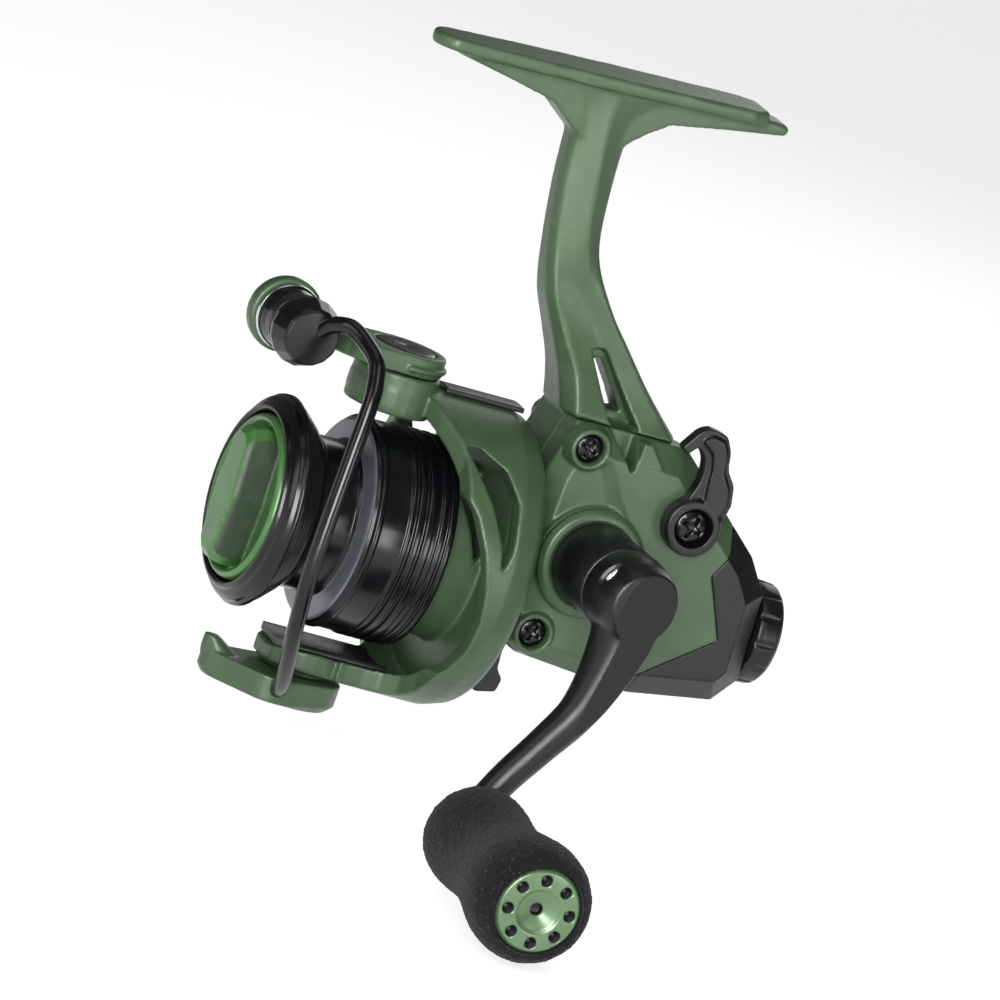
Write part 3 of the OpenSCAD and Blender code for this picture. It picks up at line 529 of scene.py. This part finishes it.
def cover():
    """Crank-side half of the casing: a lobe sunk below the flat side, bosses and the notch."""
    low = [(15.4, -57), (16.2, -62), (22.3, -71.1), (25.6, -79), (27.5, -86), (26.5, -101)]
    top = [(17, -57), (22.2, -62), (29.5, -71.1), (32.4, -79), (33.7, -86), (33.5, -101)]
    rings = [[Vector((x, y, z)) for x, z in [(0, -101), (0, -54), (edge[0][0] - 0.6, -54)] + edge]
             for edge, y in ((top, -13.9), (low, -11.4))]
    sunk = to_mesh(loft(rings), "sunk")
    shell = boolean(cad_mesh("side_cover"), [sunk], "DIFFERENCE")
    boss = to_mesh(turned([(6.5, 8.6), (9.5, 8.6), (9.5, 12.1), (9.2, 12.3), (6.5, 12.3)],
                          (AXLE.x, 0, AXLE.z), CRANK_SIDE), "boss")
    pads = [to_mesh(turned([(2.5, 9.4), (4.2, 9.4), (3.5, 12.2), (3.1, 12.5), (2.8, 12.4), (2.5, 11.8)],
                           (x, 0, z), CRANK_SIDE, 64), "pad") for x, z in SCREWS]
    wedge = to_mesh(prism([(22.7, -56.8), (24.4, -56.8), (29.4, -62.5), (32.6, -66.2), (22.7, -66.2)],
                          -12.35, -9), "wedge")
    made = softened(joined(shell, boss, wedge, *pads), 0.26, 4)
    add_piece("side_cover_shell", made, GREEN, "housing", ["side_cover"])


def phillips(x, z, face, radius, body):
    """Domed cross-head screw that looks out along -Y; face is the side distance of its rim."""
    head = turned([(0, face - 4), (body, face - 4), (body, face - 0.6), (radius, face - 0.6), (radius, face),
                   (radius * 0.82, face + radius * 0.14), (radius * 0.45, face + radius * 0.24),
                   (0, face + radius * 0.27)], (x, 0, z), CRANK_SIDE, 64)
    mesh = to_mesh(head, "screw")
    slots = []
    for turn in (20, 110):
        bar = prism([(-radius * 0.62, -radius * 0.13), (radius * 0.62, -radius * 0.13),
                     (radius * 0.62, radius * 0.13), (-radius * 0.62, radius * 0.13)],
                    -face - radius, -face + radius * 0.12)
        spin = Matrix.Rotation(math.radians(turn), 4, "Y")
        bmesh.ops.transform(bar, matrix=Matrix.Translation((x, 0, z)) @ spin, verts=bar.verts)
        slots.append(to_mesh(bar, "slot"))
    return boolean(mesh, slots, "DIFFERENCE")


def side_screws():
    """Cover screws and the bait lever's larger one."""
    heads = joined(*[phillips(x, z, 11.0, 2.4, 1.4) for x, z in SCREWS])
    add_piece("case_screw_heads", heads, GLOSS, "housing", ["cover_screws"])
    add_piece("switch_screw", phillips(SWITCH.x, SWITCH.z, 14.6, 3.1, 1.5), GLOSS,
              NODE_BODY["bait_screw"], ["bait_screw"])


def handle_collar():
    """Green ring round the crank's opening in the casing."""
    ring = turned(filleted([(4.3, 12.35), (9.4, 12.35), (9.4, 13.4), (8.7, 14.2), (7.7, 14.4), (7.4, 14.0),
                            (6.2, 13.6), (4.3, 13.6)], 0.25, steps=3), (AXLE.x, 0, AXLE.z), CRANK_SIDE, 96)
    add_piece("crank_opening_ring", to_mesh(ring, "ring"), GREEN, NODE_BODY["handle_ring"], ["handle_ring"])


def levers():
    """Free-spool lever with its hooked thumb tab, and the small anti-reverse lever."""
    outline = [(30.4, -66.0), (31.9, -63.6), (33.0, -60.4), (33.0, -58), (32.5, -55.9), (30.8, -54.2),
               (29.4, -56.2), (27.9, -55.3), (30.4, -51.6), (32.1, -50.8), (35.2, -51.4), (36.7, -54.0),
               (37.2, -56.9), (39.2, -59.3), (39.9, -62.6), (39.2, -65.8), (38.2, -69.2), (34.5, -71)]
    blade = to_mesh(prism(filleted(outline, 0.7, steps=3), -15.3, -12.75, bevel=0.35), "blade")
    crest = [(31.0, -53.2), (32.4, -51.9), (34.8, -52.3), (36.0, -54.4), (36.4, -57.4), (38.3, -60.0),
             (38.9, -62.8), (38.2, -64.8), (35.0, -63.8), (34.4, -60.2), (34.2, -57.4), (33.4, -54.8)]
    rib = to_mesh(prism(filleted(crest, 0.5, steps=2), -16.0, -14.6, bevel=0.5), "rib")
    disc = to_mesh(turned([(0, 12.72), (4.9, 12.72), (5.0, 13.2), (5.0, 15.4), (4.6, 16.0), (0, 16.1)],
                          (SWITCH.x, 0, SWITCH.z), CRANK_SIDE, 96), "disc")
    bore = to_mesh(prism(arc(SWITCH.x, SWITCH.z, 3.35, 0, 350, 35), -18, -14.2), "bore")
    made = softened(boolean(softened(joined(blade, rib, disc), 0.17, 2), [bore], "DIFFERENCE"), 0.15, 2)
    add_piece("free_spool_lever", made, BLACK, NODE_BODY["bait_lever"], ["bait_lever"])
    tab = prism(filleted([(13.9, -96.8), (17.1, -96.8), (17.4, -102.8), (18.9, -104.2), (18.5, -106.6),
                          (14.8, -107.4), (12.6, -105.4), (13.6, -102.8)], 0.5, steps=2), 2.3, 5.7, bevel=0.3)
    small = joined(cad_mesh("reverse_lever"), to_mesh(tab, "tab"))
    add_piece("anti_reverse_lever", softened(small, 0.14, 3), BLACK,
              NODE_BODY["reverse_lever"], ["reverse_lever"])


def rear():
    """Black faceted cover behind the casing, and the tension knob with its grip flutes."""
    made = softened(cad_mesh("rear_cover"), 0.24, 3)
    add_piece("rear_shell", made, BLACK, "housing", ["rear_cover"])
    add_piece("tension_knob", softened(cad_mesh("rear_knob"), 0.18, 3), BLACK,
              NODE_BODY["rear_knob"], ["rear_knob"])


# ---------------------------------------------------------------- crank

def crank():
    """Collar, swollen head with a flat teardrop face, and the curved arm."""
    centre = (AXLE.x, 0, AXLE.z)
    collar = turned([(0, 12.2), (4, 12.2), (4, 13.9), (6.9, 14.0), (7.35, 14.5), (7.4, 15.2), (7.4, 29.0),
                     (7.1, 29.3), (0, 29.3)], centre, CRANK_SIDE, 96)
    add_piece("crank_barrel", to_mesh(collar, "barrel"), BLACK, "crank", ["crank_collar"])
    head = to_mesh(turned([(0, 29.5), (7.0, 29.5), (7.45, 29.9), (7.5, 32), (7.4, 34.5), (7.0, 36.8),
                           (6.4, 38.6), (5.6, 40), (0, 41)], centre, CRANK_SIDE, 96), "head")
    knots = [(20.2, -33.6, -78.5), (20.4, -34.4, -85), (18.9, -35.4, -92.4), (16.5, -36.0, -99.2),
             (12.4, -36.3, -105.8), (7.9, -36.2, -113.2), (4.4, -36.0, -121)]
    path = smooth_path(knots, 10)
    sizes = [6.4, 5.4, 4.2, 3.3, 2.9, 2.7, 2.7]
    radii = [a + (b - a) * i / 10 for a, b in zip(sizes, sizes[1:]) for i in range(10)] + sizes[-1:]
    arm = to_mesh(tube(path, radii, 32), "arm")
    eye = to_mesh(turned([(0, 34.3), (2.9, 34.3), (3.3, 34.8), (3.3, 37.3), (2.9, 37.8), (0, 37.8)],
                         (KNOB.x, 0, KNOB.z), CRANK_SIDE, 64), "eye")
    skin = softened(joined(head, arm, eye), 0.3, 8)
    faced = sliced(skin, (21.5, -38.6, -79), Vector((0.30, -0.95, -0.05)).normalized())
    slot = to_mesh(tube([(14.6, -35.6, -73.2), (13.0, -35.6, -76.0)], 1.35, 20), "slot")
    made = softened(boolean(faced, [slot], "DIFFERENCE"), 0.2, 3)
    add_piece("crank_lever", made, BLACK, "crank", ["crank_arm"])
    pin = to_mesh(tube([(14.9, -35.8, -74.4), (14.2, -35.8, -75.6)], 0.7, 20), "pin")
    add_piece("fold_pin", pin, STEEL, "crank", ["fold_button"])


def knob():
    """Foam grip and the anodised end cap with eight holes."""
    start = KNOB + KNOB_AXIS * KNOB.y
    g, k = 38.8, 0.9895  # where the grip starts along the axis, and its length scale
    rows = [(5, g), (6.4, g), (7.6, g + 0.3), (8.5, g + 1.3 * k), (8.95, g + 3.4 * k), (9.0, g + 6 * k),
            (8.7, g + 9.5 * k), (8.4, g + 13 * k), (8.45, g + 17 * k), (8.9, g + 21 * k), (9.6, g + 25 * k),
            (10.2, g + 28.6 * k), (10.35, g + 31.4 * k), (10.1, g + 34 * k), (9.4, g + 36 * k),
            (8.6, g + 37.1 * k), (7.9, g + 37.6 * k), (7.66, g + 37.2 * k), (7.66, g + 33.2 * k),
            (5, g + 33.2 * k)]
    profile = []
    for i in range(1, len(rows) - 3):
        a, b, c, d = (Vector(rows[j]) for j in (i - 1, i, i + 1, i + 2))
        profile += [tuple(between(a, b, c, d, s / 7)) for s in range(7)]
    profile = [rows[0]] + profile + rows[-3:]
    bm = turned(profile, start, KNOB_AXIS, 220)
    bm.normal_update()
    moves = []
    for v in bm.verts:  # pores on the foam only, not where the cap sits
        if (v.co - start).cross(KNOB_AXIS).length > 7.72:
            pores = 0.12 * noise.noise(v.co * 2.2) - 0.14 * abs(noise.noise(v.co * 3.6))
            grain = pores + 0.07 * noise.noise(v.co * 0.5)
            moves.append((v, v.normal * grain))
    for v, move in moves:
        v.co += move
    grip = add_piece("foam_grip", to_mesh(bm, "foam"), FOAM, "knob", ["knob_grip"])
    outline = [(0, 72.7), (7.4, 72.7), (7.4, 75.0), (6.9, 75.7), (4.0, 75.8), (3.4, 75.3), (1.1, 74.5),
               (0.9, 73.3), (0, 73.3)]
    cap = to_mesh(turned(filleted(outline, 0.2, steps=2), start, KNOB_AXIS, 128), "cap")
    across = KNOB_AXIS.cross(Vector((1, 0, 0))).normalized()
    drills = []
    for k in range(8):
        spot = start + (Matrix.Rotation(math.radians(45 * k + 6), 3, KNOB_AXIS) @ across) * 5.45
        drill = turned([(0, 73.3), (1.02, 73.3), (1.02, 80), (0, 80)], spot, KNOB_AXIS, 28)
        drills.append(to_mesh(drill, "drill"))
    drilled = boolean(cap, drills, "DIFFERENCE")

    # Hole floors, hole walls and the centre dimple take the black finish as painted shade
    def hole_painted_shade(c, n):
        out, along = (c - start).cross(KNOB_AXIS).length, (c - start).dot(KNOB_AXIS)
        return out < 1.05 or 4.2 < out < 6.7 and (along < 73.6 or abs(n.dot(KNOB_AXIS)) < 0.3)

    add_piece("grip_end_cap", paint(drilled, hole_painted_shade), [PALE, BLACK], "knob", ["knob_cap"])


# ---------------------------------------------------------------- rotor and bail

def rotor():
    """Cup with its two arms, broad ribs beside the air windows and a slim lower arm."""
    def at_axis(points):
        return [(x, z + SHAFT_Z) for x, z in points]

    shell = to_mesh(turned([(22.7, -20), (25.9, -20), (25.95, 4), (22.7, 4)],
                           (0, 0, SHAFT_Z), FORWARD, 96), "shell")
    rib = to_mesh(prism(at_axis([(-13.2, 20.9), (-9.3, 15.2), (-5.9, 11.6), (-3.2, 6.2), (-1.2, 0.4),
                                 (0.8, 0.8), (-0.6, 7.2), (-3.6, 13.3), (-9.0, 20.7)]), -30, 30), "rib")
    plan = to_mesh(prism([(12, -40), (-5, -40), (-9, -17), (-12.5, -10.4), (-12.5, 10.4), (-9, 17),
                          (-5, 40), (12, 40)], -90, -50, normal="z"), "plan")
    ribs = boolean(shell, [rib, plan], "INTERSECT")
    skin = softened(joined(cad_mesh("rotor"), ribs), 0.28, 2)
    waist = [(-30, 8.0), (-14.2, 7.6), (-12.4, 6.9), (-9.4, 6.8), (-6.2, 7.6), (-3.8, 9.8), (-2.6, 13.5),
             (-2.2, 19), (-2.2, 40), (-30, 40)]
    cuts = [to_mesh(prism([(x, y * side) for x, y in waist], SHAFT_Z - 40, SHAFT_Z - 13.5,
                          normal="z"), "waist") for side in (1, -1)]
    add_piece("rotor_cup", softened(boolean(skin, cuts, "DIFFERENCE"), 0.28, 5), GREEN, "rotor", ["rotor"])
    add_piece("arm_top_strip", softened(cad_mesh("arm_trim"), 0.14, 3), BLACK, "rotor", ["arm_trim"])
    keep = to_mesh(prism([(-30, -5.6), (0, -5.6), (0, 5.6), (-30, 5.6)], -130, -90, normal="z"), "keep")
    add_piece("lower_arm_lining", boolean(cad_mesh("arm_liner"), [keep], "INTERSECT"), BLACK,
              "rotor", ["arm_liner"])


WIRE = [(-37.4, -7.4, -54.2), (-36.6, -9.8, -51.9), (-35.2, -12, -50.9), (-33.9, -13.6, -50.9),
        (-32.4, -16.4, -52.1), (-31.3, -20, -53.8), (-31.1, -22, -56.1), (-31.5, -24.2, -60.2),
        (-32.6, -26.6, -69.8), (-33.3, -28, -81), (-33.2, -28, -90.7), (-31.4, -25.2, -99.1),
        (-28.7, -20.4, -105.5), (-25.8, -14.6, -110.8), (-24.2, -9.6, -113.4), (-24.2, -6, -114)]


def bail():
    """Arm with its end cap, wire, cone and lower lever."""
    cap = to_mesh(turned([(0, -8.5), (4.2, -8.4), (5.6, -7.9), (6.3, -6.9), (6.4, -5.6), (6.4, -4.7),
                          (6.0, -4.3), (0, -4.3)], (ROLLER.x, 0, ROLLER.z), CRANK_SIDE, 96), "cap")
    low, high = PIVOT.z - 3.1, PIVOT.z + 0.3
    plan = arc(PIVOT.x, 0, 7.2, -90, 90, 24) + [(-26, 6.9), (-30, 7.6), (-33.5, 8.6), (-34, 4.5), (-31.5, 0),
                                                 (-29.5, -4.5), (-27, -6.6)]
    slab = to_mesh(prism(filleted(plan, 1.0, steps=3), low, high, normal="z", bevel=0.3), "slab")
    flange = to_mesh(prism(arc(PIVOT.x, 0, 7.8, -100, 100, 24), low + 0.9, low + 1.7,
                           normal="z", bevel=0.2), "flange")
    seat = to_mesh(prism(arc(PIVOT.x, 0, 5.35, 0, 350, 35), high - 0.75, high + 3, normal="z"), "seat")
    skin = softened(joined(cad_mesh("bail_arm"), cap, slab, flange), 0.22, 3)
    add_piece("bail_top_arm", softened(boolean(skin, [seat], "DIFFERENCE"), 0.2, 3), GREEN,
              "bail", ["bail_arm"])
    disc = turned(filleted([(0, high - 0.8), (5.25, high - 0.8), (5.25, high - 0.15), (4.9, high + 0.05),
                            (0, high + 0.1)], 0.1, steps=2), (PIVOT.x, 0, 0), UP, 96)
    add_piece("arm_cover_disc", to_mesh(disc, "disc"), GLOSS, "bail", ["arm_inlay"])
    add_piece("bail_bottom_lever", softened(cad_mesh("bail_lever"), 0.22, 5), GREEN, "bail", ["bail_lever"])
    add_piece("bail_bow", to_mesh(tube(smooth_path(WIRE, 8), 1.4, 28), "bow"), GLOSS, "bail", ["bail_wire"])
    centre = (ROLLER.x, 0, ROLLER.z)
    bm = turned([(0, 3.4), (5.3, 3.4), (5.9, 4.0), (6.0, 5.2), (4.9, 8.5), (4.5, 9.0), (0, 9.1)],
                centre, CRANK_SIDE, 16)
    add_piece("cone_nut", to_mesh(rounded(bm, 0.2, 12), "cone", smooth=False), GLOSS,
              "bail", ["roller_cone"])
    outline = [(2.6, -4), (5.5, -4), (5.75, -3.6), (5.6, -3.1), (5.2, -2.8), (5.3, -2.2), (5.0, -0.8),
               (5.1, 1.2), (5.6, 2.6), (5.6, 3.2), (2.6, 3.2)]
    ring = turned(filleted(outline, 0.12, steps=2), centre, CRANK_SIDE, 96)
    roller = paint(to_mesh(ring, "roller"), lambda c, n: -c.y > -3.0)
    add_piece("line_guide_roller", roller, [STEEL, GLOSS], "roller", ["line_roller"])


# ---------------------------------------------------------------- spool and drag

def spool():
    """Stepped lip, line arbor and ringed skirt, lacquered black."""
    outline = [(10.4, -33.6), (14.6, -33.6), (14.6, -36.7), (15.0, -37.2), (15.6, -37.1), (15.9, -36.4),
               (16.6, -36.2), (17.4, -35.5), (17.6, -34.8), (18.0, -34.5), (18.1, -33.7),
               (17.5, -33.5), (17.4, -32.9),
               (17.0, -32.7), (16.9, -32.2), (16.4, -32.0), (16.3, -31.5), (15.8, -31.3), (15.7, -30.8),
               (15.2, -30.6), (15.0, -30.0), (14.2, -29.4), (13.4, -28.6), (13, -27.8), (13, -22.4),
               (13.6, -21.8),
               (16.8, -21.5), (17.4, -21.1), (17.5, -20.6), (18.1, -20.3), (18.1, -19.6), (17.8, -19.3),
               (17.8, -14.9), (18.1, -14.6), (18.1, -14.1), (17.6, -13.9), (17.6, -13.5), (18.1, -13.3),
               (18.1, -12.3), (17.6, -12.1), (17.6, -11.7), (18.1, -11.5), (18.1, -10.3), (17.7, -10.1),
               (17.7, -9.2), (18.1, -9.0), (18.1, -8.2), (17.6, -8.0), (17.6, -7.6), (18, -7.4),
               (18, -6.6), (17.8, -6.2), (17, -6.2), (17, -19.2), (11.4, -19.2), (11.4, -24.4), (5, -24.4),
               (5, -13), (3, -13), (3, -26.2), (10.4, -26.2)]
    bm = turned(filleted(outline, 0.16, steps=3), (0, 0, SHAFT_Z), FORWARD, 160)
    body = paint(to_mesh(bm, "spool"), lambda c, n: n.x < -0.7 and -22.1 < c.x < -21.2)
    add_piece("spool_body", body, [GLOSS, WASHED], "spool", ["spool"])


def drag():
    """Front drag knob: rim, dish and tall grip bar with bevelled ends."""
    ring = filleted([(2.9, -31.5), (8.8, -31.5), (8.8, -33.9), (14.2, -33.9), (14.2, -36.4), (13.9, -37.2),
                     (13.3, -37.6), (12.8, -37.3), (12.4, -36.2), (12.1, -34.9), (2.9, -34.9)], 0.3, steps=3)
    rim = to_mesh(turned(ring, (0, 0, SHAFT_Z), FORWARD, 128), "rim")
    plan = [(-12.1, -1.6), (-10.4, -3.4), (0, -4.5), (10.4, -3.4), (12.1, -1.6),
            (12.1, 1.6), (10.4, 3.4), (0, 4.5), (-10.4, 3.4), (-12.1, 1.6)]
    # place along the shaft, share of the plan's height, share of its width
    rows = [(-33.8, 0.96, 0.92), (-37.4, 1.0, 0.97), (-39.9, 0.95, 1.0), (-40.6, 0.88, 0.96),
            (-40.9, 0.84, 0.88)]
    rings = [[Vector((x, w * wide, SHAFT_Z + h * tall)) for h, w in plan] for x, tall, wide in rows]
    bar = to_mesh(loft(rings), "bar")
    # The bar's sides facing +Y and -Y take the darker leaf green as painted shade, where the dish's rim keeps
    # light off them
    made = paint(softened(joined(rim, bar), 0.2, 3), lambda c, n: abs(n.y) > 0.75 and -40.7 < c.x < -34.6
                 and abs(c.y) < 5.2 and abs(c.z - SHAFT_Z) < 12.4)
    add_piece("drag_dial", made, [LEAF, SHADE], "drag_knob", ["drag_knob"])


def plain_nodes():
    """CAD nodes whose shape is right keep it and take their finish."""
    for name, node in frame["nodes"].items():
        mat = SLOT_MATERIAL[NODE_SLOT[name]]
        node.data.materials.clear()
        node.data.materials.append(mat)


plain_nodes()
studio()
housing()
cover()
side_screws()
handle_collar()
levers()
rear()
crank()
knob()
rotor()
bail()
spool()
drag()
